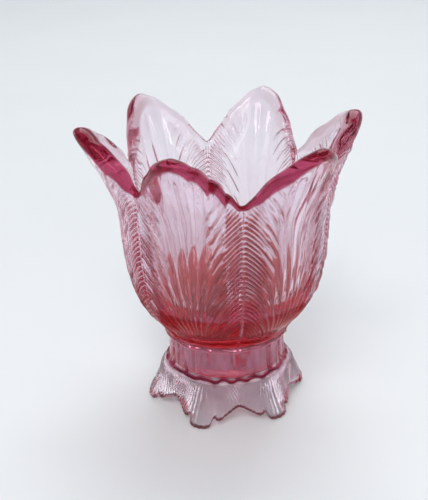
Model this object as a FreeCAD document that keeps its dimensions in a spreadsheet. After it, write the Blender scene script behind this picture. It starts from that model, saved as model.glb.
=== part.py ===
"""Footed tulip vase of pressed glass, in millimetres.

Three pieces of glass stand on each other and are fused hot: a foot with six toes, a short solid collar
with a dished top, and a tulip bowl whose rim is drawn out into six flaring petals. The axis is +Z, the
toes rest on z = 0, and a seam between two petals faces -Y.
"""

import FreeCAD
import Part

import math
import os

import Sketcher

PETALS = 6
SECTOR = 360 / PETALS
# How far a cutting outline is drawn clear of the glass, above the rim and below the table.
ABOVE_RIM = 8.0
BELOW_TABLE = 1.0
# The straight flare of the petals is lofted through this many equal steps.
FLARE_STEPS = 4
# The cuts of a pattern may differ from the first one by this share before the build stops.
CUT_TOLERANCE = 0.02

# alias: (value, what it is)
DIMENSIONS = {
    "total_height": (114.0, "table to the tips of the petals"),
    "wall_thickness": (4.0, "glass of the bowl and foot"),
    "collar_radius": (22.8, "outside of the collar at its two ends"),
    "collar_waist": (22.2, "outside of the collar at mid height"),
    "collar_bottom": (16.0, "height of the joint between foot and collar"),
    "collar_top": (28.5, "height of the joint between collar and bowl"),
    "dish_height": (20.0, "height of the flat bottom of the bowl, sunk into the collar"),
    "dish_radius": (12.0, "flat bottom of the bowl, sunk into the collar"),
    "floor_height": (35.5, "height of the inside floor of the bowl"),
    "floor_radius": (15.0, "flat inside floor of the bowl, below a straight flaring wall"),
    "flank_thickness": (7.4, "glass of the bowl at flank_height, measured level"),
    "cheek_thickness": (5.0, "glass of the bowl at cheek_height, measured level"),
    "heel_radius": (26.3, "outside of the bowl just above the collar"),
    "heel_height": (34.5, "height of heel_radius"),
    "flank_radius": (31.6, "outside of the bowl where it swells fastest"),
    "flank_height": (41.0, "height of flank_radius"),
    "cheek_radius": (35.8, "outside of the bowl below its belly"),
    "cheek_height": (50.0, "height of cheek_radius"),
    "belly_radius": (38.6, "outside of the bowl at its belly"),
    "belly_height": (66.0, "height of belly_radius"),
    "throat_radius": (39.6, "outside of the bowl where the petals begin to flare"),
    "throat_height": (82.0, "height of throat_radius"),
    "notch_height": (93.5, "bottom of the notch between two petals"),
    "seam_radius": (39.3, "outside of the bowl at the seam, at the notch"),
    "petal_radius": (44.7, "outside of a petal's middle, at the height of the notch"),
    "tip_seam_radius": (41.5, "outside of the seam, carried up to the height of the tips"),
    "tip_radius": (55.5, "outside of a petal's middle, at its tip"),
    "notch_rounding": (2.0, "radius at the bottom of a notch"),
    "tip_rounding": (8.0, "radius of a petal's tip, seen from outside"),
    "skirt_height": (7.5, "height of the section halfway down the foot"),
    "skirt_valley_radius": (25.6, "outside of the foot between two toes, at skirt_height"),
    "skirt_toe_radius": (27.4, "outside of the foot over a toe, at skirt_height"),
    "valley_radius": (27.6, "outside of the foot between two toes, carried down to the table"),
    "toe_radius": (32.4, "outside of a toe at the table"),
    "arch_height": (5.6, "height of the arch between two toes"),
    "arch_half_width": (11.6, "half the width of that arch at the table"),
}


def value(name):
    """A driving dimension as a number, for the first guess that a sketch is solved from."""
    return DIMENSIONS[name][0]


def make_sheet(doc):
    sheet = doc.addObject("Spreadsheet::Sheet", "Dimensions")
    for row, (alias, (number, meaning)) in enumerate(DIMENSIONS.items(), start=1):
        sheet.set(f"A{row}", alias)
        sheet.set(f"B{row}", str(number))
        sheet.set(f"C{row}", meaning)
        sheet.setAlias(f"B{row}", alias)
    doc.recompute()
    return sheet


def cells(formula):
    """The formula with each alias in it written as an expression that reads the sheet."""
    words = formula.split()
    return " ".join(f"Dimensions.{w}" if w in DIMENSIONS else w for w in words)


def number(formula):
    """The formula worked out from the same numbers that the sheet holds."""
    total = 0.0
    sign = 1.0
    for term in formula.replace(" - ", " + -").split(" + "):
        sign, term = (-1.0, term[1:]) if term.startswith("-") else (1.0, term)
        factors = [value(word) if word in DIMENSIONS else float(word) for word in term.split(" * ")]
        total += sign * math.prod(factors)
    return total


def add_sketch(body, name, plane_role, height=None):
    """A sketch on one of the body's own planes, lifted along the plane's normal by the formula in height."""
    plane = next(f for f in body.Origin.OriginFeatures if f.Role == plane_role)
    sketch = body.newObject("Sketcher::SketchObject", name)
    sketch.AttachmentSupport = [(plane, "")]
    sketch.MapMode = "FlatFace"
    if height is not None:
        sketch.AttachmentOffset = FreeCAD.Placement(FreeCAD.Vector(0, 0, number(height)), FreeCAD.Rotation())
        sketch.setExpression(".AttachmentOffset.Base.z", cells(height))
    return sketch


def bind(sketch, constraint, name, formula):
    """Adds a constraint with a size, and ties that size to the sheet."""
    index = sketch.addConstraint(constraint)
    sketch.renameConstraint(index, name)
    sketch.setExpression(f".Constraints.{name}", cells(formula))
    return index


def petal_sections(inwards=""):
    """Sections of the petals from the notch to the tips, where they flare in a straight line."""
    sections = []
    for step in range(FLARE_STEPS + 1):
        share = step / FLARE_STEPS
        height, seam, middle = (
            f"{low} * {1 - share} + {high} * {share}"
            for low, high in (
                ("notch_height", "total_height"),
                ("seam_radius", "tip_seam_radius"),
                ("petal_radius", "tip_radius"),
            )
        )
        sections.append((height, seam + inwards, middle + inwards))
    return sections


def lobe_radius_formula(seam, middle):
    """Radius of an arc that starts and ends on two seams and bulges out to the petal's middle."""
    s, m = f"( {seam} )", f"( {middle} )"
    half = f"cos( {SECTOR / 2} deg )"
    return f"{m} - ( {m} * {m} - {s} * {s} ) / ( 2 * ( {m} - {s} * {half} ) )"


def lobe_radius(seam, middle):
    half = math.cos(math.radians(SECTOR / 2))
    return middle - (middle**2 - seam**2) / (2 * (middle - seam * half))


def lobed_section(body, name, height, seam, middle):
    """A closed ring of six arcs that meet at the seams. With seam equal to middle, it is a circle."""
    sketch = add_sketch(body, name, "XY_Plane", height)
    s, m = number(seam), number(middle)
    bulge = lobe_radius(s, m)
    spokes, arcs = [], []
    for k in range(PETALS):
        turn = math.radians(-90 + SECTOR * k)
        ahead = math.radians(-90 + SECTOR * (k + 0.5))
        start = FreeCAD.Vector(s * math.cos(turn), s * math.sin(turn), 0)
        after = math.radians(-90 + SECTOR * (k + 1))
        end = FreeCAD.Vector(s * math.cos(after), s * math.sin(after), 0)
        centre = FreeCAD.Vector(math.cos(ahead), math.sin(ahead), 0) * (m - bulge)
        circle = Part.Circle(centre, FreeCAD.Vector(0, 0, 1), bulge)
        sweep = [math.atan2(p.y - centre.y, p.x - centre.x) for p in (start, end)]
        arcs.append(sketch.addGeometry(Part.ArcOfCircle(circle, *sweep)))
        spokes.append(sketch.addGeometry(Part.LineSegment(FreeCAD.Vector(), start), True))
    for k in range(PETALS):
        sketch.addConstraint(Sketcher.Constraint("Coincident", spokes[k], 1, -1, 1))
        sketch.addConstraint(Sketcher.Constraint("Coincident", spokes[k], 2, arcs[k], 1))
        sketch.addConstraint(Sketcher.Constraint("Coincident", arcs[k], 2, arcs[(k + 1) % PETALS], 1))
    sketch.addConstraint(Sketcher.Constraint("Vertical", spokes[0]))
    for k in range(1, PETALS):
        sketch.addConstraint(Sketcher.Constraint("Equal", spokes[0], spokes[k]))
        sketch.addConstraint(Sketcher.Constraint("Equal", arcs[0], arcs[k]))
        turned = Sketcher.Constraint("Angle", spokes[k - 1], 1, spokes[k], 1, math.radians(SECTOR))
        sketch.addConstraint(turned)
    bind(sketch, Sketcher.Constraint("Distance", spokes[0], s), "seam", seam)
    bind(sketch, Sketcher.Constraint("Radius", arcs[0], bulge), "bulge", lobe_radius_formula(seam, middle))
    return sketch


def loft(body, kind, name, sections):
    """A loft through lobed sections, each given as (height, seam radius, radius at the petals' middle)."""
    made = [lobed_section(body, f"{name}_section_{i}", *section) for i, section in enumerate(sections)]
    feature = body.newObject(f"PartDesign::{kind}", name)
    feature.Profile = made[0]
    feature.Sections = made[1:]
    feature.Ruled = False
    feature.Closed = False
    for sketch in made:
        sketch.Visibility = False
    return feature


def revolve(body, name, outline, kind="Revolution"):
    """Turns an outline of straight sides, given as (radius, height) formulas, round the axis.

    The kind is Revolution, which adds the shape to the body, or Groove, which takes it away.
    """
    sketch = add_sketch(body, f"{name}_outline", "XZ_Plane")
    corners = [FreeCAD.Vector(number(radius), number(height), 0) for radius, height in outline]
    ends = zip(corners, corners[1:] + corners[:1])
    sides = [sketch.addGeometry(Part.LineSegment(start, end)) for start, end in ends]
    for i, side in enumerate(sides):
        sketch.addConstraint(Sketcher.Constraint("Coincident", side, 2, sides[(i + 1) % len(sides)], 1))
    for i, (side, (radius, height)) in enumerate(zip(sides, outline)):
        if radius == "0":
            sketch.addConstraint(Sketcher.Constraint("PointOnObject", side, 1, -2))
        else:
            bind(sketch, Sketcher.Constraint("DistanceX", side, 1, corners[i].x), f"radius_{i}", radius)
        bind(sketch, Sketcher.Constraint("DistanceY", side, 1, corners[i].y), f"height_{i}", height)
    turned = body.newObject(f"PartDesign::{kind}", name)
    turned.Profile = sketch
    turned.ReferenceAxis = (sketch, ["V_Axis"])
    turned.Angle = 360
    sketch.Visibility = False
    return turned


def cut_all_round(doc, body, sketch, name):
    """Cuts the sketch outwards through the wall that faces -Y, then repeats it at every seam."""
    before = body.Shape.Volume
    pocket = body.newObject("PartDesign::Pocket", name)
    pocket.Profile = sketch
    pocket.Type = "Length"
    pocket.setExpression("Length", cells("total_height"))
    pocket.Reversed = True
    doc.recompute()
    one_cut = before - body.Shape.Volume
    pattern = body.newObject("PartDesign::PolarPattern", f"{name}_round")
    pattern.Originals = [pocket]
    pattern.Axis = (next(f for f in body.Origin.OriginFeatures if f.Role == "Z_Axis"), [""])
    pattern.Angle = 360
    pattern.Occurrences = PETALS
    body.Tip = pattern
    doc.recompute()
    all_cuts = before - body.Shape.Volume
    if one_cut <= 0 or abs(all_cuts - PETALS * one_cut) > CUT_TOLERANCE * all_cuts:
        raise RuntimeError(f"{name} cut {one_cut:.1f} mm3 once and {all_cuts:.1f} mm3 in all")
    return pattern


def arc_between(sketch, centre, radius, first, last):
    """An arc that runs anticlockwise from its point 1 to its point 2, with its centre as point 3."""
    circle = Part.Circle(centre, FreeCAD.Vector(0, 0, 1), radius)
    turn = [math.atan2(p.y - centre.y, p.x - centre.x) for p in (first, last)]
    return sketch.addGeometry(Part.ArcOfCircle(circle, *turn))


def notch_sketch(body):
    """The space between two petals, seen from outside: a V with a round bottom and round shoulders."""
    sketch = add_sketch(body, "notch_outline", "XZ_Plane")
    shoulder, root = value("tip_rounding"), value("notch_rounding")
    tip_x = value("tip_radius") / 2
    shoulder_z = value("total_height") - shoulder
    root_z = value("notch_height") + root
    top = value("total_height") + ABOVE_RIM
    # The flank touches the round root on its lower side and the round shoulder on its upper side.
    rise = shoulder_z - root_z
    slope = math.atan2(rise, tip_x) - math.asin((root + shoulder) / math.hypot(tip_x, rise))
    outwards = FreeCAD.Vector(-math.sin(slope), math.cos(slope), 0)
    right_centre = FreeCAD.Vector(tip_x, shoulder_z, 0)
    root_centre = FreeCAD.Vector(0, root_z, 0)
    right_bend = right_centre + outwards * shoulder
    right_foot = root_centre - outwards * root
    right_top = right_centre + FreeCAD.Vector(0, shoulder, 0)
    right_corner = FreeCAD.Vector(tip_x, top, 0)
    left_centre, left_bend, left_foot, left_top, left_corner = (
        FreeCAD.Vector(-p.x, p.y, 0) for p in (right_centre, right_bend, right_foot, right_top, right_corner)
    )
    left_arc = arc_between(sketch, left_centre, shoulder, left_bend, left_top)
    left_flank = sketch.addGeometry(Part.LineSegment(left_bend, left_foot))
    root_arc = arc_between(sketch, root_centre, root, left_foot, right_foot)
    right_flank = sketch.addGeometry(Part.LineSegment(right_foot, right_bend))
    right_arc = arc_between(sketch, right_centre, shoulder, right_top, right_bend)
    right_side = sketch.addGeometry(Part.LineSegment(right_top, right_corner))
    lid = sketch.addGeometry(Part.LineSegment(right_corner, left_corner))
    left_side = sketch.addGeometry(Part.LineSegment(left_corner, left_top))
    joins = [
        ("Tangent", left_arc, 1, left_flank, 1),
        ("Tangent", left_flank, 2, root_arc, 1),
        ("Tangent", root_arc, 2, right_flank, 1),
        ("Tangent", right_flank, 2, right_arc, 2),
        ("Coincident", right_arc, 1, right_side, 1),
        ("Coincident", right_side, 2, lid, 1),
        ("Coincident", lid, 2, left_side, 1),
        ("Coincident", left_side, 2, left_arc, 2),
        ("Vertical", right_side),
        ("Vertical", left_side),
        ("Horizontal", lid),
        ("Equal", left_arc, right_arc),
        ("PointOnObject", root_arc, 3, -2),
        ("Symmetric", left_arc, 3, right_arc, 3, -2),
        ("Vertical", right_arc, 3, right_arc, 1),
        ("Vertical", left_arc, 3, left_arc, 2),
    ]
    for join in joins:
        sketch.addConstraint(Sketcher.Constraint(*join))
    sizes = [
        ("shoulder", ("Radius", right_arc, shoulder), "tip_rounding"),
        ("root", ("Radius", root_arc, root), "notch_rounding"),
        ("tip_x", ("DistanceX", right_arc, 3, tip_x), "tip_radius / 2"),
        ("tip_z", ("DistanceY", right_arc, 3, shoulder_z), "total_height - tip_rounding"),
        ("root_z", ("DistanceY", root_arc, 3, root_z), "notch_height + notch_rounding"),
        ("lid_z", ("DistanceY", lid, 1, top), f"total_height + {ABOVE_RIM}"),
    ]
    for name, size, formula in sizes:
        bind(sketch, Sketcher.Constraint(*size), name, formula)
    return sketch


def arch_sketch(body):
    """The arch between two toes, seen from outside: one arc over a chord just below the table."""
    sketch = add_sketch(body, "arch_outline", "XZ_Plane")
    height, half = value("arch_height"), value("arch_half_width")
    radius = (height**2 + half**2) / (2 * height)
    formula = "( arch_height * arch_height + arch_half_width * arch_half_width ) / ( 2 * arch_height )"
    centre = FreeCAD.Vector(0, height - radius, 0)
    reach = math.sqrt(radius**2 - (BELOW_TABLE + centre.y) ** 2)
    right = FreeCAD.Vector(reach, -BELOW_TABLE, 0)
    left = FreeCAD.Vector(-reach, -BELOW_TABLE, 0)
    arc = arc_between(sketch, centre, radius, right, left)
    chord = sketch.addGeometry(Part.LineSegment(left, right))
    joins = [
        ("Coincident", arc, 2, chord, 1),
        ("Coincident", chord, 2, arc, 1),
        ("Horizontal", chord),
        ("PointOnObject", arc, 3, -2),
    ]
    for join in joins:
        sketch.addConstraint(Sketcher.Constraint(*join))
    sizes = [
        ("arch", ("Radius", arc, radius), formula),
        ("arch_centre", ("DistanceY", arc, 3, centre.y), f"arch_height - {formula}"),
        ("below_table", ("DistanceY", chord, 1, -BELOW_TABLE), f"-{BELOW_TABLE}"),
    ]
    for name, size, formula in sizes:
        bind(sketch, Sketcher.Constraint(*size), name, formula)
    return sketch


def make_bowl(doc):
    """The cup and its six petals: an outer loft, less a loft and a well inside, less the rim's notches."""
    body = doc.addObject("PartDesign::Body", "bowl")
    body.Label = "tulip_bowl"
    wall = "wall_thickness"
    loft(body, "AdditiveLoft", "outside", [
        ("collar_top", "collar_radius", "collar_radius"),
        ("heel_height", "heel_radius", "heel_radius"),
        ("flank_height", "flank_radius", "flank_radius"),
        ("cheek_height", "cheek_radius", "cheek_radius"),
        ("belly_height", "belly_radius", "belly_radius"),
        ("throat_height", "throat_radius", "throat_radius"),
        *petal_sections(),
    ])
    doc.recompute()
    revolve(body, "sunk_bottom", [
        ("0", "dish_height"),
        ("dish_radius", "dish_height"),
        ("collar_radius", "collar_top"),
        ("0", "collar_top"),
    ])
    doc.recompute()
    loft(body, "SubtractiveLoft", "cavity", [
        ("flank_height", "flank_radius - flank_thickness", "flank_radius - flank_thickness"),
        ("cheek_height", "cheek_radius - cheek_thickness", "cheek_radius - cheek_thickness"),
        ("belly_height", f"belly_radius - {wall}", f"belly_radius - {wall}"),
        ("throat_height", f"throat_radius - {wall}", f"throat_radius - {wall}"),
        *petal_sections(f" - {wall}"),
    ])
    doc.recompute()
    revolve(body, "well", [
        ("0", "floor_height"),
        ("floor_radius", "floor_height"),
        ("flank_radius - flank_thickness", "flank_height"),
        ("0", "flank_height * 0.5 + cheek_height * 0.5"),
    ], "Groove")
    doc.recompute()
    cut_all_round(doc, body, notch_sketch(body), "notch")
    return body


def make_collar(doc):
    """A solid drum, drawn in a little at mid height, with a dished top that the bowl is sunk into."""
    body = doc.addObject("PartDesign::Body", "collar")
    body.Label = "stem_collar"
    revolve(body, "drum", [
        ("0", "collar_bottom"),
        ("collar_radius", "collar_bottom"),
        ("collar_waist", "collar_bottom * 0.5 + collar_top * 0.5"),
        ("collar_radius", "collar_top"),
        ("dish_radius", "dish_height"),
        ("0", "dish_height"),
    ])
    doc.recompute()
    return body


def make_foot(doc):
    """A flaring skirt, hollow beneath, cut away by six arches so that it stands on six toes."""
    body = doc.addObject("PartDesign::Body", "foot")
    body.Label = "toed_foot"
    sections = [
        ("collar_bottom", "collar_radius", "collar_radius"),
        ("skirt_height", "skirt_valley_radius", "skirt_toe_radius"),
        ("0", "valley_radius", "toe_radius"),
    ]
    loft(body, "AdditiveLoft", "outside", sections)
    doc.recompute()
    inner = [(z, f"{seam} - wall_thickness", f"{middle} - wall_thickness") for z, seam, middle in sections]
    loft(body, "SubtractiveLoft", "hollow", inner)
    doc.recompute()
    cut_all_round(doc, body, arch_sketch(body), "arch")
    return body


def check_and_export(doc, bodies):
    """Stops if anything in the document failed, then writes one STEP file for each body."""
    failed = [o.Name for o in doc.Objects if "Invalid" in o.State or "Error" in o.State]
    if failed:
        raise RuntimeError(f"these objects failed to recompute: {failed}")
    os.makedirs("parts", exist_ok=True)
    for body in bodies:
        shape = body.Shape
        if shape.isNull() or not shape.isValid() or len(shape.Solids) != 1:
            raise RuntimeError(f"{body.Label} is not one valid solid")
        shape.exportStep(f"parts/{body.Label}.step")
        box = shape.optimalBoundingBox()
        size = f"{box.XLength:.2f} x {box.YLength:.2f} x {box.ZLength:.2f} mm"
        print(f"{body.Label}: {shape.Volume / 1000:.2f} cm3, {size}, z {box.ZMin:.2f} to {box.ZMax:.2f}")


def main():
    doc = FreeCAD.newDocument("tulip_vase")
    make_sheet(doc)
    bodies = [make_foot(doc), make_collar(doc), make_bowl(doc)]
    doc.recompute()
    check_and_export(doc, bodies)


main()
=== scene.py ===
"""Footed tulip vase of rose pressed glass: leaf-veined petals, rolled rim, drum-shaped stem and toed foot.

The outside of the vase is one surface, radius against angle and height, with its relief added as real
shape. The rolled rim, the inside and the underside close it into one piece of glass.
Names that end in _MM, and the points of profiles, are in millimetres. Meshes are in metres.
"""

import math

import bpy
import numpy as np
from mathutils import Matrix, Vector


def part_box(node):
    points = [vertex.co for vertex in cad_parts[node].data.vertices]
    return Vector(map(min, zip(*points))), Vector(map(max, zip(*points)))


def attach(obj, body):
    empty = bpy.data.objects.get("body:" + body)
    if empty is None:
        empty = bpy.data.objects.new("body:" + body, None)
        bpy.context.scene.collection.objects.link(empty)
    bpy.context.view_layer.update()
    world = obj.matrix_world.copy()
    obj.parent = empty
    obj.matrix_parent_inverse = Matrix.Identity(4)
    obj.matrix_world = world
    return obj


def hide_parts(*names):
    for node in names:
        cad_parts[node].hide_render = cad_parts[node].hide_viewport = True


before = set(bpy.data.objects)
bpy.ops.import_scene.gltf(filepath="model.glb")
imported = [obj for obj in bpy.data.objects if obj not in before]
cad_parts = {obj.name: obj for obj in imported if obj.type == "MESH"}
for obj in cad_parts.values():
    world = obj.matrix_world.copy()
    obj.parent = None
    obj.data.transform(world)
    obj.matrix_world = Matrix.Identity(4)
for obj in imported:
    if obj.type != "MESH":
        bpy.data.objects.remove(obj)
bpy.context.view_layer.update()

MM = 0.001
TAU = 2 * math.pi

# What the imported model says, in millimetres.
TOP_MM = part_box("tulip_bowl")[1][2] / MM
DRUM_LOW_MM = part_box("stem_collar")[0][2] / MM
DRUM_HIGH_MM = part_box("stem_collar")[1][2] / MM

PETALS = 6
SECTOR = TAU / PETALS
FIRST_SEAM = -math.pi / 2
COLUMNS = 130 * PETALS
SEAM_CROWDING = 0.45
FOOT_ROWS, DRUM_ROWS, BOWL_ROWS = 66, 44, 300
LIP_ROWS, INSIDE_ROWS, WELL_ROWS, SOLE_ROWS, SKIRT_ROWS = 16, 80, 44, 12, 30

# Outside of the bowl without its flare: (height, radius) at a petal's middle and at a seam.
BOWL_MIDDLE = [(28.5, 22.8), (31.5, 24.4), (34.5, 26.5), (41, 31.8), (50, 36.0), (66, 38.9), (82, 39.8)]
BOWL_SEAM = [(28.5, 22.8), (31.5, 24.3), (34.5, 26.2), (41, 31.3), (50, 35.4), (66, 38.2), (82, 39.1)]
FLARE_START_MM = 84.2
FLARE_SOFTNESS_MM = 2.5
# Petals counted anticlockwise from the seam that faces -Y. No two are drawn out equally far.
TIP_RADII_MM = [55.5, 54.5, 52.9, 54.8, 55.6, 52.8]
TIP_DROPS_MM = [0.0, 0.3, 0.0, 0.4, 0.2, 0.5]
NOTCH_HEIGHTS_MM = [93.5, 94.0, 93.2, 93.8, 93.3, 93.9]
TIP_ROUNDNESS = 0.45
NOTCH_ROUNDNESS = 0.06
# One side of the front left petal goes down in rounded steps.
SCALLOPED_SIDE = 11
SCALLOPS = 4.2
SCALLOP_MM = 1.3
WALL_MM = 3.8
# How much each petal's rim swells, and how much the rim thins at the notches.
LIP_EXTRA_MM = [3.2, 4.3, 2.8, 2.8, 4.3, 3.2]
NOTCH_THINNING_MM = 1.05
LIP_SQUARENESS = 0.92
WELL = [(56.0, 33.4), (49.0, 30.4), (43.5, 26.0), (39.5, 21.5), (37.0, 17.8), (35.8, 13.0), (35.5, 7.0),
        (35.5, 0.0)]

# Outside of the foot over a toe and over an arch, from the table up into the drum.
TOE_LINE = [(0, 32.5), (3.4, 30.5), (6.8, 28.6), (13.1, 25.2), (16.0, 23.9), (18.2, 23.2), (28.5, 22.8)]
ARCH_LINE = [(0, 28.6), (3.4, 27.3), (6.8, 26.1), (13.1, 24.3), (16.0, 23.5), (18.2, 23.0), (28.5, 22.8)]
# Lower edge of the foot: (place between a toe's middle and an arch's middle, height).
FOOT_EDGE = [(0, 0), (0.18, 0.2), (0.25, 0.9), (0.30, 2.6), (0.34, 3.2), (0.39, 2.4), (0.48, 2.2),
             (0.6, 3.0), (0.75, 4.0), (0.9, 4.9), (1.0, 5.2)]
TOE_REACH_MM = [0.0, -0.6, 0.3, -0.2, 0.2, 1.2]
FOOT_WALL_MM = 2.3
LEDGE_MM = 0.9
BEAD_MM, BEAD_HEIGHT_MM, BEAD_WIDTH_MM = 1.3, 30.3, 0.85
CREASE_MM = 0.55
# The drum's smooth front panel: its middle, the half angles where it ends, and how creased it still is.
PANEL_ANGLE = math.radians(-100)
PANEL_HALF_ANGLES = (0.38, 0.62)
PANEL_CREASE = 0.12
FANS = 8.0
FAN_SHARPNESS = 1.4
FAN_EDGE_CALM, FAN_EDGE_MM = 0.35, 2.0
TOE_CREASE_MM, TOE_CREASE_PLACE, TOE_CREASE_WIDTH = 0.6, 0.31, 0.05
SOLE_RADIUS_MM = 19.2

# Irregular patterns round the vase: (seed, most waves round it, millimetres along it).
RIB_WAVER = (31, 40, 30.0)
FLUTE_WAVER = (41, 12, 70.0)
BEAD_WAVER = (51, 16, 50.0)
LEDGE_WAVER = (61, 26, 50.0)
LEDGE_JAGS = (67, 44, 50.0)
DRUM_CREASES = (73, 54, 40.0)
FAN_WAVER = (81, 30, 20.0)
OUTSIDE_WAVES = (91, 36, 11.0)
INSIDE_WAVES = (111, 24, 16.0)
WAVES_MM = 0.05

# Places where relief fades in or out: heights, or distances below the rim, at none of it and all of it.
RIB_HEIGHTS, RIB_BELOW_RIM = (32.0, 52.0), (2.0, 9.0)
FLUTE_HEIGHTS, FLUTE_BELOW_RIM, FLUTE_FROM_SEAM = (32.0, 54.0), (3.0, 12.0), (0.12, 0.42)
SEAM_HEIGHTS, SEAM_BELOW_RIM = (29.0, 34.0), (1.0, 4.0)
LEDGE_HEIGHTS = (8.5, 14.5)
CREASES_FROM, CREASES_TO = (16.5, 18.5), (30.0, 27.5)
FAN_HEIGHTS = (16.0, 12.5)
SWELL_BELOW_RIM = (18.0, 1.5)

# Leaf veins spring from the middle of each petal's base, fan out and meet the seams level.
VEIN_ROOT_MM = 24.0
VEIN_BEND = 1.2
VEIN_CURVE = 1.75
RIB_PITCH_MM = 1.95
RIB_DROP_MM = 34.0
RIB_BEND = 1.55
RIB_HEIGHT_MM = 1.15
RIB_STRENGTH = (0.6, 1.2)
RIB_WAVER_MM = 0.2
RIB_SHARPNESS, RIB_SOFTENING, RIB_SOFTEST_AT = 3.4, 2.0, 0.65
RIB_BREAK_MM = 0.55
RIB_REACH = (0.34, 0.5)
RIB_FADE = 0.12
LONG_RIB_REACH = (0.56, 0.72)
LONG_RIB_EVERY = 3
SEAM_RIB_MM, SEAM_RIB_WIDTH_MM = 0.8, 0.4
SEAM_GROOVE_MM, SEAM_GROOVE_PLACE_MM, SEAM_GROOVE_WIDTH_MM = 0.2, 1.1, 0.6
FLUTE_HEIGHT_MM = 0.8
FLUTES = 2.6
FLUTE_SPAN_MM = 60.0
FLUTE_WANDER = 0.16

# How ruby the surface of the glass is: (height, amount) on the outside and, further down, on the inside. On
# the outside the solid base is ruby, but the full ruby up to about 48 mm and the fade above it are painted
# refraction: the red floor seen through the front wall, painted all round.
OUTER_RUBY_AND_PAINTED_FLOOR_VIEW = [(0, 0.02), (13.0, 0.06), (15.0, 0.1), (17.5, 0.12), (28.5, 0.16),
              (30.3, 0.5), (32.0, 1.0), (47.6, 1.0), (49.2, 0.34), (53.0, 0.26), (59.0, 0.15), (70.0, 0.0)]
# Beside the seams the ruby is drawn further up.
RUBY_DRAWN_MM = 9.0
# The same on the rim, for the two sides of each petal in turn. The back petals' rims get little of it.
LIP_RUBY = [1.0, 0.9, 0.7, 0.35, 0.25, 0.08, 0.1, 0.65, 0.3, 1.0, 1.0, 1.0]
# How far the rim's ruby reaches down the wall.
RIM_RUBY_MM = 1.6
# Ruby between the ribs at each seam, anticlockwise from the one that faces -Y: painted shade that darkens the
# valleys, most at the two seams that stand at the sides of the view.
RIB_VALLEY_PAINTED_SHADE = [0.75, 1.7, 0.5, 0.4, 0.6, 1.7]
# Painted shade: a little ruby in the flutes' hollows darkens them.
FLUTE_HOLLOW_PAINTED_SHADE = 0.06
# Painted highlight: the share of ruby taken off the rib crests and the seam lines, so that they show as light
# lines on the red.
CREST_PAINTED_HIGHLIGHT = 0.92
FOOT_EDGE_RUBY = 0.9
FOOT_EDGE_RUBY_MM = 0.9
INNER_RUBY = [(35.5, 1.0), (37.5, 0.95), (42.0, 0.6), (49.0, 0.32), (60.0, 0.14), (74.0, 0.0)]
# How cloudy the fine relief makes the outside, from the table to the petals.
FROST = [(0, 0.05), (14.0, 0.05), (16.5, 0.055), (28.5, 0.04), (60.0, 0.05), (114.0, 0.02)]


def smooth_step(x, low, high):
    """0 at low, 1 at high and beyond, with a smooth rise between. Low may be the larger."""
    t = np.clip((x - low) / (high - low), 0.0, 1.0)
    return t * t * (3 - 2 * t)


def bump(x, centre, width):
    return np.exp(-(((x - centre) / width) ** 2))


def curve_through(points, x):
    """A smooth curve through (x, y) points, which doesn't overshoot them, read at x."""
    px, py = (np.array(column, float) for column in zip(*points))
    if px[0] > px[-1]:
        px, py = px[::-1], py[::-1]
    step = np.diff(px)
    slope = np.diff(py) / step
    same_way = slope[:-1] * slope[1:] > 0
    before = np.where(same_way, slope[:-1], 1.0)
    after = np.where(same_way, slope[1:], 1.0)
    mean = np.where(same_way, 2 * before * after / (before + after), 0.0)
    tangent = np.concatenate([[slope[0]], mean, [slope[-1]]])
    x = np.clip(x, px[0], px[-1])
    i = np.clip(np.searchsorted(px, x, side="right") - 1, 0, len(step) - 1)
    t = (x - px[i]) / step[i]
    level = (2 * t**3 - 3 * t**2 + 1) * py[i] + (3 * t**2 - 2 * t**3) * py[i + 1]
    lean = (t**3 - 2 * t**2 + t) * tangent[i] + (t**3 - t**2) * tangent[i + 1]
    return level + step[i] * lean


def ripple(phi, z, seed, around, along_mm):
    """A smooth irregular pattern, mostly between -1 and 1, that closes on itself round the vase."""
    draw = np.random.default_rng(seed)
    waves = 6
    total = 0.0
    for _ in range(waves):
        turns = draw.integers(max(1, around // 3), around + 1)
        lean = draw.uniform(-1, 1) * TAU / along_mm
        total = total + np.sin(turns * phi + lean * z + draw.uniform(0, TAU))
    return total / math.sqrt(waves)


def lay_columns():
    """Each column's angle, petal and place, which runs from -1 at one seam to 1 at the next.

    Columns stand closest together at the seams, where the relief is finest.
    """
    each = COLUMNS // PETALS
    even = np.linspace(-1, 1, each, endpoint=False)
    place = np.tile(even + SEAM_CROWDING * np.sin(math.pi * even) / math.pi, PETALS)
    petal = np.repeat(np.arange(PETALS), each)
    phi = FIRST_SEAM + SECTOR * (petal + (place + 1) / 2)
    return phi, petal, place


PHI, PETAL, PLACE = lay_columns()
OUTWARD = np.abs(PLACE)
FROM_SEAM = 1 - OUTWARD
SIDE = 2 * PETAL + (PLACE > 0)
SEAM = (PETAL + (PLACE > 0)) % PETALS


def rim_height():
    """Height of the rim's crest at each column: six rounded petals with rounded notches between."""
    tip = TOP_MM - np.array(TIP_DROPS_MM)[PETAL]
    notch = np.array(NOTCH_HEIGHTS_MM)[SEAM]
    softened = 1 - (np.sqrt(FROM_SEAM**2 + NOTCH_ROUNDNESS**2) - NOTCH_ROUNDNESS)
    fall = np.sqrt(softened**2 + TIP_ROUNDNESS**2) - TIP_ROUNDNESS
    fall = fall / (math.sqrt(1 + TIP_ROUNDNESS**2) - TIP_ROUNDNESS)
    draw = np.random.default_rng(11)
    waves = draw.uniform(2.4, 3.3, 2 * PETALS)[SIDE]
    start = draw.uniform(0, TAU, 2 * PETALS)[SIDE]
    depth = draw.uniform(0.2, 0.55, 2 * PETALS)[SIDE]
    calm = smooth_step(OUTWARD, 0.1, 0.4) * smooth_step(OUTWARD, 1.0, 0.75)
    uneven = depth * calm * np.sin(TAU * waves * OUTWARD + start)
    steps_down = SCALLOP_MM * calm * (np.abs(np.sin(math.pi * SCALLOPS * OUTWARD)) - 0.6)
    return tip - (tip - notch) * fall + np.where(SIDE == SCALLOPED_SIDE, steps_down, uneven)


RIM = rim_height()


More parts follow.
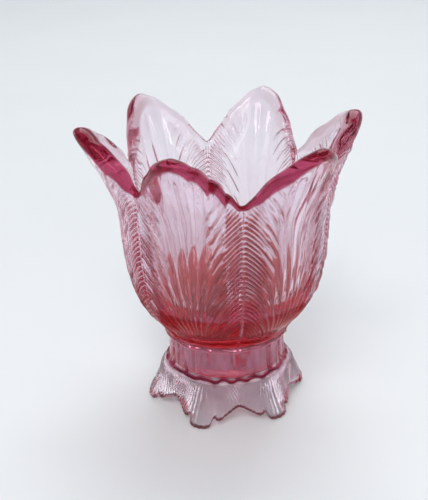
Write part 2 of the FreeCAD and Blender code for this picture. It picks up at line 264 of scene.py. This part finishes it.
def outside_radius(z):
    """Radius of the outside at each row's heights, smooth, without its relief."""
    spread = OUTWARD**2
    middle = curve_through(BOWL_MIDDLE, z)
    seam = curve_through(BOWL_SEAM, z)
    reach = np.array(TIP_RADII_MM)[PETAL] - BOWL_MIDDLE[-1][1]
    flare = FLARE_SOFTNESS_MM * np.log1p(np.exp((z - FLARE_START_MM) / FLARE_SOFTNESS_MM))
    middle = middle + flare * reach / (TOP_MM - FLARE_START_MM)
    bowl = middle + (seam - middle) * spread
    toe = curve_through(TOE_LINE, z)
    arch = curve_through(ARCH_LINE, z)
    blend = smooth_step(OUTWARD, 0.0, 1.0)
    foot = toe + (arch - toe) * blend + np.array(TOE_REACH_MM)[PETAL] * (1 - blend) * smooth_step(z, 9.0, 0.0)
    return np.where(z < DRUM_HIGH_MM, foot, bowl)


def wall_thickness(z):
    """Level thickness of the bowl's wall, which swells into its rolled rim."""
    swell = smooth_step(z, RIM - SWELL_BELOW_RIM[0], RIM - SWELL_BELOW_RIM[1])
    petal_share = smooth_step(FROM_SEAM, 0.02, 0.55)
    extra = np.array(LIP_EXTRA_MM)[PETAL] * petal_share - NOTCH_THINNING_MM * (1 - petal_share)
    return WALL_MM + extra * swell


def vein_level(z):
    """Height at which the vein through each point meets its seam."""
    above_root = np.clip(z - VEIN_ROOT_MM, 1.0, None)
    return VEIN_ROOT_MM + above_root / np.clip(1 - FROM_SEAM**VEIN_CURVE, 0.02, None) ** VEIN_BEND


def rib_pattern(z):
    """The fine ribs beside each seam, each with its own reach and strength: their crests and their zone."""
    draw = np.random.default_rng(23)
    level = z + RIB_DROP_MM * FROM_SEAM**RIB_BEND + RIB_WAVER_MM * ripple(PHI, z, *RIB_WAVER)
    many = int((TOP_MM + RIB_DROP_MM) / RIB_PITCH_MM) + 3
    reaches = draw.uniform(*RIB_REACH, (2 * PETALS, many))
    reaches[:, ::LONG_RIB_EVERY] = draw.uniform(*LONG_RIB_REACH, reaches[:, ::LONG_RIB_EVERY].shape)
    strengths = draw.uniform(*RIB_STRENGTH, (2 * PETALS, many))
    turn = level / RIB_PITCH_MM
    rib = np.rint(turn).astype(int)
    sharpness = RIB_SHARPNESS - RIB_SOFTENING * np.clip(FROM_SEAM, 0.0, RIB_SOFTEST_AT)
    crest = np.abs(np.cos(math.pi * (turn - rib))) ** sharpness
    reach = reaches[SIDE, rib]
    fade = smooth_step(FROM_SEAM, reach, reach - RIB_FADE)
    zone = smooth_step(z, *RIB_HEIGHTS) * smooth_step(RIM - z, *RIB_BELOW_RIM)
    broken = 1 - bump(beside_seam(z), 0.0, RIB_BREAK_MM)
    return crest, strengths[SIDE, rib] * fade * zone * broken


def flute_turn(z):
    """Which flute each point lies on, counted from the middle of its petal."""
    share = FLUTE_SPAN_MM / (vein_level(z) - VEIN_ROOT_MM)
    return FLUTES * share ** (1 / VEIN_BEND) + FLUTE_WANDER * ripple(PHI, z, *FLUTE_WAVER)


def flutes(z):
    """Broad hollow flutes with sharp crests, which fan out of each petal's base."""
    hollow = np.abs(np.sin(math.pi * flute_turn(z)))
    zone = smooth_step(z, *FLUTE_HEIGHTS) * smooth_step(RIM - z, *FLUTE_BELOW_RIM)
    zone = zone * smooth_step(FROM_SEAM, *FLUTE_FROM_SEAM)
    return FLUTE_HEIGHT_MM * (0.5 - hollow) * zone


def beside_seam(z):
    """Distance round the bowl from the nearest seam."""
    return FROM_SEAM * SECTOR / 2 * outside_radius(z)


def seam_ribs(z):
    """The raised line down each seam, in a shallow groove."""
    across = beside_seam(z)
    zone = smooth_step(z, *SEAM_HEIGHTS) * smooth_step(RIM - z, *SEAM_BELOW_RIM)
    line = SEAM_RIB_MM * bump(across, 0.0, SEAM_RIB_WIDTH_MM)
    groove = SEAM_GROOVE_MM * bump(across, SEAM_GROOVE_PLACE_MM, SEAM_GROOVE_WIDTH_MM)
    return zone * (line - groove)


def ledge_height():
    """Height of the jagged ledge where the foot takes over from the drum."""
    jag = np.tanh(2.0 * ripple(PHI, 0.0, *LEDGE_JAGS))
    return DRUM_LOW_MM + 0.3 + 0.3 * ripple(PHI, 0.0, *LEDGE_WAVER) + 0.12 * jag


def joint_lines(z):
    """The wavy bead under the bowl, and the ledge over the foot."""
    bead_height = BEAD_HEIGHT_MM + 0.35 * ripple(PHI, 0.0, *BEAD_WAVER)
    bead = BEAD_MM * bump(z, bead_height, BEAD_WIDTH_MM)
    ledge = smooth_step(z, ledge_height() + 0.35, ledge_height() - 0.1) * smooth_step(z, *LEDGE_HEIGHTS)
    return bead + LEDGE_MM * ledge


def drum_creases(z):
    """Irregular upright creases round the drum, which leave a smooth panel at its front."""
    from_panel = np.abs((PHI - PANEL_ANGLE + math.pi) % TAU - math.pi)
    strong = smooth_step(from_panel, *PANEL_HALF_ANGLES)
    crease = np.clip(ripple(PHI, z, *DRUM_CREASES), 0.0, 1.5)
    zone = smooth_step(z, *CREASES_FROM) * smooth_step(z, *CREASES_TO)
    return crease * (PANEL_CREASE + (1 - PANEL_CREASE) * strong) * zone


def foot_fans(z):
    """Fine ribs that fan out over each toe and notch its edge, and the crease beside each toe."""
    spread = OUTWARD / (0.55 + 0.45 * np.clip((DRUM_LOW_MM - z) / DRUM_LOW_MM, 0, 1))
    turn = FANS * spread + 0.2 * ripple(PHI, z, *FAN_WAVER)
    zone = smooth_step(z, *FAN_HEIGHTS)
    calm_edge = FAN_EDGE_CALM + (1 - FAN_EDGE_CALM) * smooth_step(z - FOOT_START, 0.0, FAN_EDGE_MM)
    fans = calm_edge * (0.5 + 0.5 * np.cos(TAU * turn)) ** FAN_SHARPNESS
    crease = TOE_CREASE_MM * bump(OUTWARD, TOE_CREASE_PLACE, TOE_CREASE_WIDTH) * smooth_step(z, 7.0, 2.0)
    return (fans - crease) * zone


def relief(z):
    """Height of all the outside's relief over the smooth shape."""
    bare = smooth_step(RIM - z, 0.0, 2.0)
    unevenness = WAVES_MM * ripple(PHI, z, *OUTSIDE_WAVES)
    bowl = smooth_step(z, DRUM_HIGH_MM - 1.0, DRUM_HIGH_MM + 1.0)
    crest, zone = rib_pattern(z)
    veins = (RIB_HEIGHT_MM * crest * zone + flutes(z) + seam_ribs(z)) * bowl
    return veins + joint_lines(z) - CREASE_MM * drum_creases(z) + foot_fans(z) + unevenness * bare


def points(radius, z):
    """Points in millimetres, rows by columns, from radii and heights."""
    radius, z = np.broadcast_arrays(radius, z, np.zeros((1, COLUMNS)))[:2]
    return np.stack([radius * np.cos(PHI), radius * np.sin(PHI), z], axis=-1)


def raised(grid, height):
    """The grid's points moved along its outward normals."""
    around = np.roll(grid, -1, axis=1) - np.roll(grid, 1, axis=1)
    upward = np.gradient(grid, axis=0)
    normal = np.cross(around, upward)
    normal /= np.linalg.norm(normal, axis=-1, keepdims=True)
    return grid + normal * height[..., None]


def steps(low, high, count):
    """Rows of heights from low to high, each of which may differ from column to column."""
    t = np.linspace(0.0, 1.0, count)[:, None]
    return low + (high - low) * t


def lip_height():
    """Upright half axis of the rolled rim: larger where the rim slopes, so that it stays round."""
    slope = np.gradient(RIM, PHI) / outside_radius(RIM[None])[0]
    return 0.5 * wall_thickness(RIM[None])[0] * np.sqrt(1 + np.clip(slope, -1.6, 1.6) ** 2) * 0.9


def foot_edge_height():
    """Height of the middle of the foot's rounded lower edge at each column."""
    draw = np.random.default_rng(101)
    arch = draw.uniform(-0.6, 0.6, PETALS)[SEAM]
    edge = curve_through(FOOT_EDGE, OUTWARD) + arch * smooth_step(OUTWARD, 0.4, 1.0)
    return np.clip(edge, 0.0, None)


EDGE_ROUND_MM = 1.0
LIP_START = RIM - lip_height()
FOOT_START = foot_edge_height() + EDGE_ROUND_MM


def build_outside():
    """The whole outside from the foot's edge to the rolled rim."""
    heights = np.concatenate([
        steps(FOOT_START, DRUM_LOW_MM, FOOT_ROWS)[:-1],
        steps(DRUM_LOW_MM, DRUM_HIGH_MM, DRUM_ROWS)[:-1] + np.zeros(COLUMNS),
        steps(DRUM_HIGH_MM, LIP_START, BOWL_ROWS),
    ])
    return raised(points(outside_radius(heights), heights), relief(heights))


def lip_rows():
    """The rolled rim, from the outside over the crest to the inside."""
    angle = np.linspace(0, math.pi, LIP_ROWS + 2)[1:-1, None]
    z = LIP_START + (RIM - LIP_START) * np.sin(angle) ** LIP_SQUARENESS
    half = wall_thickness(z) / 2
    across = np.sign(np.cos(angle)) * np.abs(np.cos(angle)) ** LIP_SQUARENESS
    return points(outside_radius(z) - half + half * across, z)


def inside_rows():
    """The inside of the bowl, from the rim down to its floor's middle."""
    z = steps(LIP_START, WELL[0][0], INSIDE_ROWS)
    wall = points(outside_radius(z) - wall_thickness(z), z)
    well_radius, well_height = (np.array(c) for c in zip(*[(r, h) for h, r in WELL]))
    length = np.concatenate([[0], np.cumsum(np.hypot(np.diff(well_radius), np.diff(well_height)))])
    along = np.linspace(0, length[-1], WELL_ROWS + 1)[1:-1]
    radius = curve_through(list(zip(length, well_radius)), along)
    height = curve_through(list(zip(length, well_height)), along)
    excess = np.hypot(wall[-1, :, 0], wall[-1, :, 1]) - WELL[0][1]
    fading = np.linspace(1, 0, WELL_ROWS - 1)[:, None] ** 2
    well = points(radius[:, None] + excess * fading, height[:, None])
    rows = np.concatenate([wall, well])
    waves = WAVES_MM * ripple(PHI, rows[..., 2], *INSIDE_WAVES)
    return raised(rows, waves * smooth_step(rows[..., 2], 25.0, 30.0))


def under_foot_rows():
    """The inside of the skirt, from the drum's underside down, then round the foot's lower edge."""
    z = steps(DRUM_LOW_MM + 0 * PHI, FOOT_START, SKIRT_ROWS)
    thin = smooth_step(z, 12.0, 4.0)
    radius = outside_radius(z) - FOOT_WALL_MM + 0.5 * thin
    radius = radius + (SOLE_RADIUS_MM - radius) * smooth_step(z, 13.0, 16.0)
    skirt = points(radius, z)
    angle = np.linspace(math.pi, 0, SOLE_ROWS + 2)[1:-1, None]
    z_edge = FOOT_START - EDGE_ROUND_MM * np.sin(angle)
    outer = OUTSIDE[0]
    inner = skirt[-1]
    middle, half = (outer + inner) / 2, (outer - inner) / 2
    edge = middle + half * np.cos(angle)[..., None]
    edge[..., 2] = z_edge
    return np.concatenate([skirt, edge])


def mesh_from_rows(name, rows, ruby_and_painted_light, frost, start_pole, end_pole, sharp_rows):
    """A closed mesh from rings of points, whose first and last rings close at a pole each."""
    count, around = rows.shape[:2]
    index = np.arange(count * around).reshape(count, around)
    beside = np.roll(index, -1, axis=1)
    quads = np.stack([index[:-1], beside[:-1], beside[1:], index[1:]], axis=-1).reshape(-1, 4)
    vertices = np.concatenate([rows.reshape(-1, 3), [start_pole, end_pole]])
    ruby_and_painted_light, frost = (np.concatenate([a.ravel(), [a[0, 0], a[-1, 0]]]) for a in (ruby_and_painted_light, frost))
    first, last = count * around, count * around + 1
    fans = [
        np.stack([np.full(around, first), beside[0], index[0]], axis=-1),
        np.stack([np.full(around, last), index[-1], beside[-1]], axis=-1),
    ]
    triangles = np.concatenate(fans)
    loops = np.concatenate([quads.ravel(), triangles.ravel()])
    starts = np.concatenate([np.arange(len(quads)) * 4, len(quads) * 4 + np.arange(len(triangles)) * 3])
    mesh = bpy.data.meshes.new(name)
    mesh.vertices.add(len(vertices))
    mesh.vertices.foreach_set("co", (vertices * MM).astype(np.float32).ravel())
    mesh.loops.add(len(loops))
    mesh.loops.foreach_set("vertex_index", loops.astype(np.int32))
    mesh.polygons.add(len(starts))
    mesh.polygons.foreach_set("loop_start", starts.astype(np.int32))
    mesh.update(calc_edges=True)
    mesh.validate()
    mesh.shade_smooth()
    ends = np.empty(len(mesh.edges) * 2, np.int32)
    mesh.edges.foreach_get("vertices", ends)
    ring = ends.reshape(-1, 2) // around
    sharp = (ring[:, 0] == ring[:, 1]) & np.isin(ring[:, 0], sharp_rows)
    mark = mesh.attributes.new("sharp_edge", "BOOLEAN", "EDGE")
    mark.data.foreach_set("value", sharp)
    # The ruby layer also carries painted shade, painted highlights and a painted view of the floor.
    for label, amount in (("ruby_and_painted_light", ruby_and_painted_light), ("frost", frost)):
        layer = mesh.attributes.new(label, "FLOAT", "POINT")
        layer.data.foreach_set("value", amount.astype(np.float32).ravel())
    piece = bpy.data.objects.new(name, mesh)
    bpy.context.scene.collection.objects.link(piece)
    return piece


OUTSIDE = build_outside()


def outside_ruby_and_painted_light(z):
    """Ruby of the outside: in the base and drawn up beside the seams, between the ribs, and on the edges. Its
    band up to about 48 mm paints the floor seen through the wall. The ruby between the ribs, in the flutes'
    hollows and in the drum's creases is painted shade. The ruby taken off the rib crests and seam lines makes
    painted highlights.
    """
    hollow = np.abs(np.sin(math.pi * flute_turn(z)))
    drawn = z - RUBY_DRAWN_MM * smooth_step(FROM_SEAM, 0.62, 0.12) * smooth_step(z, 49.0, 66.0)
    crest, zone = rib_pattern(z)
    # Painted shade: ruby between the ribs, and a little in the flutes' hollows, darkens the valleys.
    painted_valley_shade = np.array(RIB_VALLEY_PAINTED_SHADE)[SEAM] * (1 - crest) ** 2 * zone * (1 - 0.4 * smooth_step(z, 60.0, 92.0))
    painted_flute_shade = FLUTE_HOLLOW_PAINTED_SHADE * hollow**2 * smooth_step(z, 45.0, 55.0) * smooth_step(RIM - z, 2.0, 20.0)
    # Ruby on the ledge over the foot, and painted shade in the drum's creases.
    ledge_ruby_and_crease_shade = 0.95 * bump(z, ledge_height() + 0.5, 1.15) + 0.4 * drum_creases(z)
    # Painted highlight: ruby is mostly taken off the rib crests here, so they show as light lines.
    painted_crest_highlight = 1 - CREST_PAINTED_HIGHLIGHT * crest * np.clip(zone, 0.0, 1.0) * smooth_step(z, 43.0, 54.0)
    rim = rim_ruby() * rim_fade(z)
    body = curve_through(OUTER_RUBY_AND_PAINTED_FLOOR_VIEW, drawn) * painted_crest_highlight
    # Painted highlight on the seam lines: their ruby is mostly taken off.
    painted_seam_highlight = 1 - CREST_PAINTED_HIGHLIGHT * bump(beside_seam(z), 0.0, 0.45) * smooth_step(z, 34.0, 40.0)
    foot_edge = FOOT_EDGE_RUBY * smooth_step(z - FOOT_START, FOOT_EDGE_RUBY_MM, 0.0)
    return np.clip((body + painted_valley_shade + painted_flute_shade) * painted_seam_highlight + ledge_ruby_and_crease_shade + rim + foot_edge, 0.0, 1.0)


def rim_fade(z):
    """How far the ruby of the rim reaches down the wall: 1 at the rim's edge, 0 below."""
    reach = RIM_RUBY_MM * (0.25 + 0.75 * smooth_step(FROM_SEAM, 0.05, 0.4))
    return smooth_step((LIP_START - z) / reach, 1.0, 0.0)


def rim_ruby():
    """Ruby of the rim at each column, blended from one side of each petal to the other at its tip."""
    right, left = (np.array(LIP_RUBY)[2 * PETAL + side] for side in (0, 1))
    return right + (left - right) * smooth_step(PLACE, -0.15, 0.15)


def inside_ruby(z):
    """Ruby of the inside: over the floor, and on the rim."""
    return np.maximum(curve_through(INNER_RUBY, z), rim_ruby() * rim_fade(z))


def under_foot_ruby(rows):
    """A trace under the foot, and ruby round its lower edge."""
    ruby_and_painted_light = np.full(rows.shape[:2], OUTER_RUBY_AND_PAINTED_FLOOR_VIEW[0][1])
    ruby_and_painted_light[SKIRT_ROWS:] = FOOT_EDGE_RUBY
    return ruby_and_painted_light


def build_vase():
    """The one piece of glass, in place of the three solids."""
    under = under_foot_rows()
    lip = lip_rows()
    inside = inside_rows()
    rows = np.concatenate([under, OUTSIDE, lip, inside])
    ruby_and_painted_light = np.concatenate([
        under_foot_ruby(under), outside_ruby_and_painted_light(OUTSIDE[..., 2]),
        np.broadcast_to(rim_ruby(), lip.shape[:2]), inside_ruby(inside[..., 2]),
    ])
    frost = np.concatenate([
        np.full(under.shape[:2], FROST[0][1]), curve_through(FROST, OUTSIDE[..., 2]),
        np.zeros(lip.shape[:2]), np.zeros(inside.shape[:2]),
    ])
    piece = mesh_from_rows("vase_glass", rows, ruby_and_painted_light, frost, (0, 0, DRUM_LOW_MM), (0, 0, WELL[-1][0]), [0])
    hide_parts("tulip_bowl", "stem_collar", "toed_foot")
    return piece


def new_material(name):
    material = bpy.data.materials.new(name)
    material.use_nodes = True
    tree = material.node_tree
    return material, tree, tree.nodes["Principled BSDF"]


def noise(tree, scale, detail):
    node = tree.nodes.new("ShaderNodeTexNoise")
    node.inputs["Scale"].default_value = scale
    node.inputs["Detail"].default_value = detail
    tree.links.new(tree.nodes.new("ShaderNodeTexCoord").outputs["Object"], node.inputs["Vector"])
    return node


def spread(tree, source, low, high):
    """Maps a noise's usual range onto low to high."""
    node = tree.nodes.new("ShaderNodeMapRange")
    node.inputs["From Min"].default_value = 0.3
    node.inputs["From Max"].default_value = 0.7
    node.inputs["To Min"].default_value = low
    node.inputs["To Max"].default_value = high
    tree.links.new(source, node.inputs["Value"])
    return node.outputs["Result"]


def blend_of(tree, source, low, high):
    """A colour between low and high, by a source from 0 to 1."""
    node = tree.nodes.new("ShaderNodeMix")
    node.data_type = "RGBA"
    node.inputs["A"].default_value = (*low, 1)
    node.inputs["B"].default_value = (*high, 1)
    tree.links.new(source, node.inputs["Factor"])
    return node.outputs["Result"]


def ramp_of(tree, source, stops):
    """A colour ramp through (place, colour) stops."""
    node = tree.nodes.new("ShaderNodeValToRGB")
    for place, _ in stops[1:-1]:
        node.color_ramp.elements.new(place)
    for element, (place, colour) in zip(node.color_ramp.elements, stops):
        element.position = place
        element.color = (*colour, 1)
    tree.links.new(source, node.inputs["Fac"])
    return node.outputs["Color"]


ABSORPTION_COLOUR = (0.90, 0.36, 0.52)
ABSORPTION_PER_METRE = 40.0
GLASS_IOR = 1.52
PALE_TINTS = (0.975, 0.965, 1.0), (0.925, 0.92, 0.98)
CLOUD_SCALE, SMEAR_SCALE, DENT_SCALE = 60.0, 240.0, 420.0
MOST_SMEAR = 0.05
DENT_STRENGTH, DENT_MM = 0.05, 0.15
# The ruby itself, by height: wine on the foot and its ledge, orange red in the base, rose red on the rim.
RUBY_HUES = [(27.0, (0.20, 0.006, 0.022)), (32.0, (0.40, 0.006, 0.005)), (46.0, (0.38, 0.006, 0.006)),
             (66.0, (0.28, 0.010, 0.036))]
RUBY_GLEAM = (0.55, 0.12, 0.15)


def attribute(tree, name):
    node = tree.nodes.new("ShaderNodeAttribute")
    node.attribute_name = name
    return node.outputs["Fac"]


def tint_glass(tree, shader):
    """Pale lilac glass, ruby where the mesh says so, and with it the painted shade, painted highlights and
    painted view of the floor that the mesh's ruby layer carries. Ruby parts also mirror less white.
    """
    cloud = noise(tree, CLOUD_SCALE, 3.0)
    pale = blend_of(tree, cloud.outputs["Fac"], *PALE_TINTS)
    height = tree.nodes.new("ShaderNodeSeparateXYZ")
    tree.links.new(tree.nodes.new("ShaderNodeTexCoord").outputs["Object"], height.inputs["Vector"])
    climb = tree.nodes.new("ShaderNodeMapRange")
    climb.inputs["From Max"].default_value = TOP_MM * MM
    tree.links.new(height.outputs["Z"], climb.inputs["Value"])
    hue = ramp_of(tree, climb.outputs["Result"], [(z / TOP_MM, colour) for z, colour in RUBY_HUES])
    ruby_and_painted_light = attribute(tree, "ruby_and_painted_light")
    deepen = tree.nodes.new("ShaderNodeMix")
    deepen.data_type = "RGBA"
    tree.links.new(pale, deepen.inputs["A"])
    tree.links.new(hue, deepen.inputs["B"])
    tree.links.new(ruby_and_painted_light, deepen.inputs["Factor"])
    tree.links.new(deepen.outputs["Result"], shader.inputs["Base Color"])
    tree.links.new(blend_of(tree, ruby_and_painted_light, (1.0, 1.0, 1.0), RUBY_GLEAM), shader.inputs["Specular Tint"])


def smear_glass(tree, shader):
    """Faint smears, and a little cloudiness where the relief is fine."""
    smear = noise(tree, SMEAR_SCALE, 4.0)
    roughness = tree.nodes.new("ShaderNodeMath")
    tree.links.new(spread(tree, smear.outputs["Fac"], 0.0, MOST_SMEAR), roughness.inputs[0])
    tree.links.new(attribute(tree, "frost"), roughness.inputs[1])
    tree.links.new(roughness.outputs["Value"], shader.inputs["Roughness"])


def dent_glass(tree, shader):
    """The faint unevenness that pressing leaves, too fine for the mesh."""
    waves = noise(tree, DENT_SCALE, 2.0)
    dent = tree.nodes.new("ShaderNodeBump")
    dent.inputs["Strength"].default_value = DENT_STRENGTH
    dent.inputs["Distance"].default_value = DENT_MM * MM
    tree.links.new(waves.outputs["Fac"], dent.inputs["Height"])
    tree.links.new(dent.outputs["Normal"], shader.inputs["Normal"])


def rose_glass():
    """Glass tinted at its surface and through its depth, so that long ways through it are redder."""
    material, tree, shader = new_material("rose_glass")
    shader.inputs["Transmission Weight"].default_value = 1.0
    shader.inputs["IOR"].default_value = GLASS_IOR
    tint_glass(tree, shader)
    smear_glass(tree, shader)
    dent_glass(tree, shader)
    depth = tree.nodes.new("ShaderNodeVolumeAbsorption")
    depth.inputs["Color"].default_value = (*ABSORPTION_COLOUR, 1)
    depth.inputs["Density"].default_value = ABSORPTION_PER_METRE
    tree.links.new(depth.outputs["Volume"], tree.nodes["Material Output"].inputs["Volume"])
    return material


FLOOR_SIZE = 12.0
FLOOR_TONES = (0.845, 0.85, 0.855), (0.885, 0.89, 0.895)
WEAVE_SCALE = 9.0


def lay_floor():
    """A plain pale cloth that fills the view."""
    half = FLOOR_SIZE / 2
    mesh = bpy.data.meshes.new("floor")
    corners = [(-half, -half, 0), (half, -half, 0), (half, half, 0), (-half, half, 0)]
    mesh.from_pydata(corners, [], [(0, 1, 2, 3)])
    floor = bpy.data.objects.new("floor", mesh)
    bpy.context.scene.collection.objects.link(floor)
    material, tree, shader = new_material("pale_cloth")
    weave = noise(tree, WEAVE_SCALE, 4.0)
    tree.links.new(blend_of(tree, weave.outputs["Fac"], *FLOOR_TONES), shader.inputs["Base Color"])
    shader.inputs["Roughness"].default_value = 0.9
    shader.inputs["Specular IOR Level"].default_value = 0.1
    mesh.materials.append(material)


# From the horizon to straight up.
ROOM_TONES = [(0.0, (1.15, 1.18, 1.20)), (0.2, (1.0, 1.03, 1.06)), (0.45, (0.52, 0.55, 0.58)),
              (0.62, (0.28, 0.30, 0.33)), (1.0, (0.16, 0.17, 0.19))]


def light_world():
    """A pale room round the vase with a darker ceiling, so that the glass has something to bend."""
    world = bpy.data.worlds.new("room")
    world.use_nodes = True
    tree = world.node_tree
    way = tree.nodes.new("ShaderNodeTexCoord").outputs["Generated"]
    split = tree.nodes.new("ShaderNodeSeparateXYZ")
    tree.links.new(way, split.inputs["Vector"])
    sky = ramp_of(tree, split.outputs["Z"], ROOM_TONES)
    tree.links.new(sky, tree.nodes["Background"].inputs["Color"])
    bpy.context.scene.world = world


# Name, place, size in metres, watts and colour.
LIGHTS = [
    ("overhead", (0.3, 0.8, 1.5), 1.1, 13.0, (0.93, 0.97, 1.0)),
    ("front", (0.1, -1.5, 0.42), 0.9, 4.5, (1.0, 0.99, 0.98)),
    ("window", (-0.35, -0.7, 1.2), 0.5, 5.0, (0.95, 0.98, 1.0)),
    ("lamp", (-0.15, -0.75, 0.75), 0.25, 1.6, (1.0, 0.99, 0.97)),
]


def soft_light(name, place, size, power, colour):
    """A square area light that faces the middle of the vase."""
    lamp = bpy.data.lights.new(name, "AREA")
    lamp.size = size
    lamp.energy = power
    lamp.color = colour
    light = bpy.data.objects.new(name, lamp)
    light.location = place
    aim = Vector((0, 0, TOP_MM * MM / 2)) - Vector(place)
    light.rotation_euler = aim.to_track_quat("-Z", "Y").to_euler()
    bpy.context.scene.collection.objects.link(light)


# The view: where the camera stands about the middle of the vase, and how its frame is placed.
VIEW_AZIMUTH, VIEW_ELEVATION, VIEW_ROLL = math.radians(-9.6), math.radians(24.14), math.radians(-1.17)
VIEW_DISTANCE = 3.2 * TOP_MM * MM
LENS_MM = 67.6
SHIFT_X, SHIFT_Y = -0.022, 0.020


def place_camera():
    data = bpy.data.cameras.new("view")
    data.lens = LENS_MM
    data.shift_x, data.shift_y = SHIFT_X, SHIFT_Y
    data.clip_start = 0.01
    camera = bpy.data.objects.new("view", data)
    aim = Vector((0, 0, TOP_MM * MM / 2))
    back = Vector((
        math.sin(VIEW_AZIMUTH) * math.cos(VIEW_ELEVATION),
        -math.cos(VIEW_AZIMUTH) * math.cos(VIEW_ELEVATION),
        math.sin(VIEW_ELEVATION),
    ))
    facing = (-back).to_track_quat("-Z", "Y").to_matrix().to_4x4()
    place = Matrix.Translation(aim + back * VIEW_DISTANCE)
    camera.matrix_world = place @ facing @ Matrix.Rotation(VIEW_ROLL, 4, "Z")
    bpy.context.scene.collection.objects.link(camera)
    bpy.context.scene.camera = camera


def set_up_render():
    scene = bpy.context.scene
    scene.view_settings.view_transform = "Standard"
    scene.cycles.max_bounces = 32
    scene.cycles.transmission_bounces = 32
    scene.cycles.glossy_bounces = 12
    scene.cycles.diffuse_bounces = 4


def main():
    glass = rose_glass()
    piece = build_vase()
    piece.data.materials.append(glass)
    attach(piece, "root")
    lay_floor()
    light_world()
    for light in LIGHTS:
        soft_light(*light)
    place_camera()
    set_up_render()


main()
